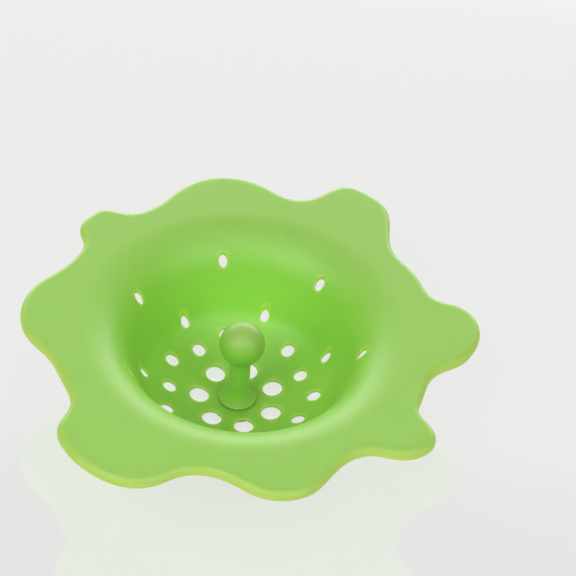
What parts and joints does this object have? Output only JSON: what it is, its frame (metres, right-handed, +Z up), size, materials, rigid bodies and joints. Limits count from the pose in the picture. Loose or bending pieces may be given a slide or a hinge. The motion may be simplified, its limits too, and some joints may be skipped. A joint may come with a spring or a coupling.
{
  "type": "sink strainer",
  "caption": "Soft sink strainer: pierced bowl with a wavy, turned-down brim that rests over a drain, and a turning ball knob in the middle to lift it out.",
  "frame": {"origin": "centre of the round underside that the strainer stands on, on the axis of the bowl", "axes": "+Z up along the axis of the bowl and of the knob; +X to the right and +Y away in the picture's view"},
  "size_m": [0.13, 0.1237, 0.0324],
  "materials": {
    "soft_bowl": "satin, slightly translucent soft moulding, a little chalky on the brim",
    "glossy_knob": "smooth satin, a little glossier than the bowl, chalky on its cap and foot",
    "hidden_pin": "smooth satin, as the knob"
  },
  "bodies": {
    "bowl": {"strainer_bowl": "soft_bowl"},
    "knob": {"lift_knob": "glossy_knob", "retaining_pin": "hidden_pin"}
  },
  "joints": [
    {"name": "knob_spin", "type": "hinge", "parent": "bowl", "child": "knob", "pos_m": [0, 0, 0], "axis": [0, 0, 1], "continuous": true}
  ]
}
